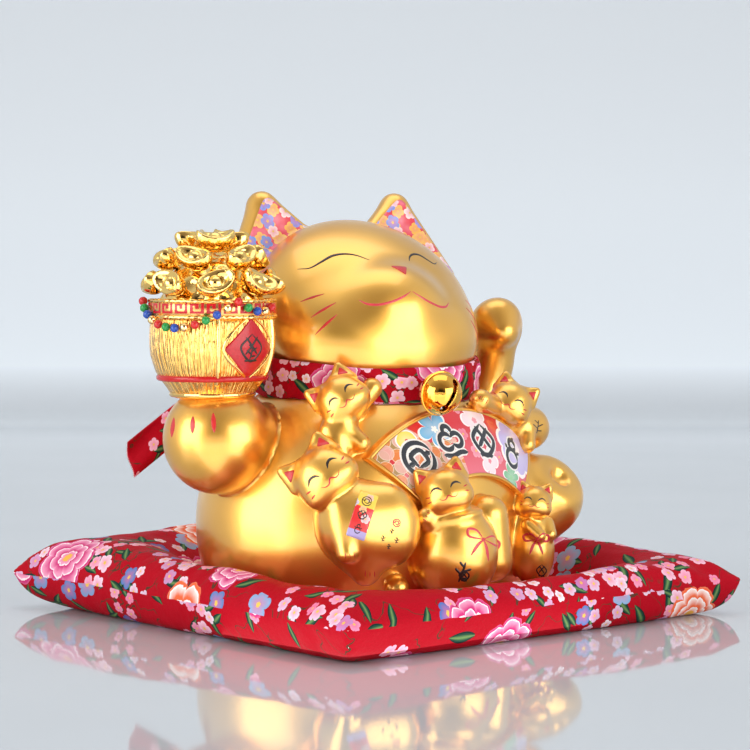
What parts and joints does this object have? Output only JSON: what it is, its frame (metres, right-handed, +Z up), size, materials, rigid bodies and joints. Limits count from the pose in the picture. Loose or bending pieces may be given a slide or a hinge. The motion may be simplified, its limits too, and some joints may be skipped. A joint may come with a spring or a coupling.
{
  "type": "cat figurine",
  "caption": "Glazed ceramic lucky cat money box with small kittens, a printed fan, a barrel of ingots and a belled cloth collar, resting on a square printed cushion.",
  "frame": {"origin": "centre of the cushion's underside, on the surface it rests on", "axes": "+Z up, the cat looks along -Y, +X is the cat's left side"},
  "size_m": [0.2825, 0.28, 0.2254],
  "materials": {
    "pearl_gold_glaze": "satin pearl gold",
    "plated_gold": "bright electroplated gold over ceramic",
    "fan_print": "transfer-printed red with blossoms",
    "red_print_cotton": "printed cotton with blossoms",
    "fibre_filling": "white polyester filling",
    "bell_metal": "polished",
    "pellet_steel": "plain",
    "red_bead": "glossy",
    "green_bead": "glossy",
    "blue_bead": "glossy",
    "gold_bead": "metallic gold",
    "hanger_cord": "twisted cord",
    "stopper_rubber": "soft white rubber"
  },
  "bodies": {
    "cushion": {"cushion_top_cover": "red_print_cotton", "cushion_bottom_cover": "red_print_cotton", "cushion_filling": "fibre_filling"},
    "cat": {"cat_body": "pearl_gold_glaze", "cat_head": "pearl_gold_glaze", "ear_right": "pearl_gold_glaze", "ear_left": "pearl_gold_glaze", "barrel_arm": "pearl_gold_glaze", "waving_arm": "pearl_gold_glaze", "left_leg": "pearl_gold_glaze", "tail": "pearl_gold_glaze", "fan_plaque": "fan_print", "kitten_upper_right": "pearl_gold_glaze", "kitten_reclining": "pearl_gold_glaze", "kitten_seated": "pearl_gold_glaze", "kitten_upper_left": "pearl_gold_glaze", "kitten_small": "pearl_gold_glaze", "barrel": "plated_gold", "ingot_mound": "plated_gold", "gold_ingots": "plated_gold", "beads_red": "red_bead", "beads_green": "green_bead", "beads_blue": "blue_bead", "beads_gold": "gold_bead", "collar_band": "red_print_cotton", "collar_knot": "red_print_cotton", "collar_tail_right": "red_print_cotton", "collar_tail_left": "red_print_cotton", "bell_hanger": "hanger_cord"},
    "bell": {"bell_back_shell": "bell_metal", "bell_front_shell": "bell_metal", "bell_loop": "bell_metal"},
    "pellet": {"bell_pellet": "pellet_steel"},
    "stopper": {"rubber_stopper": "stopper_rubber"}
  },
  "joints": [
    {"name": "cat_lift", "type": "slide", "parent": "cushion", "child": "cat", "axis": [0, 0, 1], "range_m": [0, 0.2]},
    {"name": "bell_swing", "type": "hinge", "parent": "cat", "child": "bell", "pos_m": [-0.01491, -0.05743, 0.12169], "axis": [-0.9904, 0.1381, 0], "range_deg": [0, 35]},
    {"name": "pellet_rattle", "type": "slide", "parent": "bell", "child": "pellet", "axis": [0, 0, 1], "range_m": [0, 0.014]},
    {"name": "stopper_twist", "type": "hinge", "parent": "cat", "child": "stopper", "pos_m": [0, 0, 0.012], "axis": [0, 0, 1], "continuous": true}
  ]
}
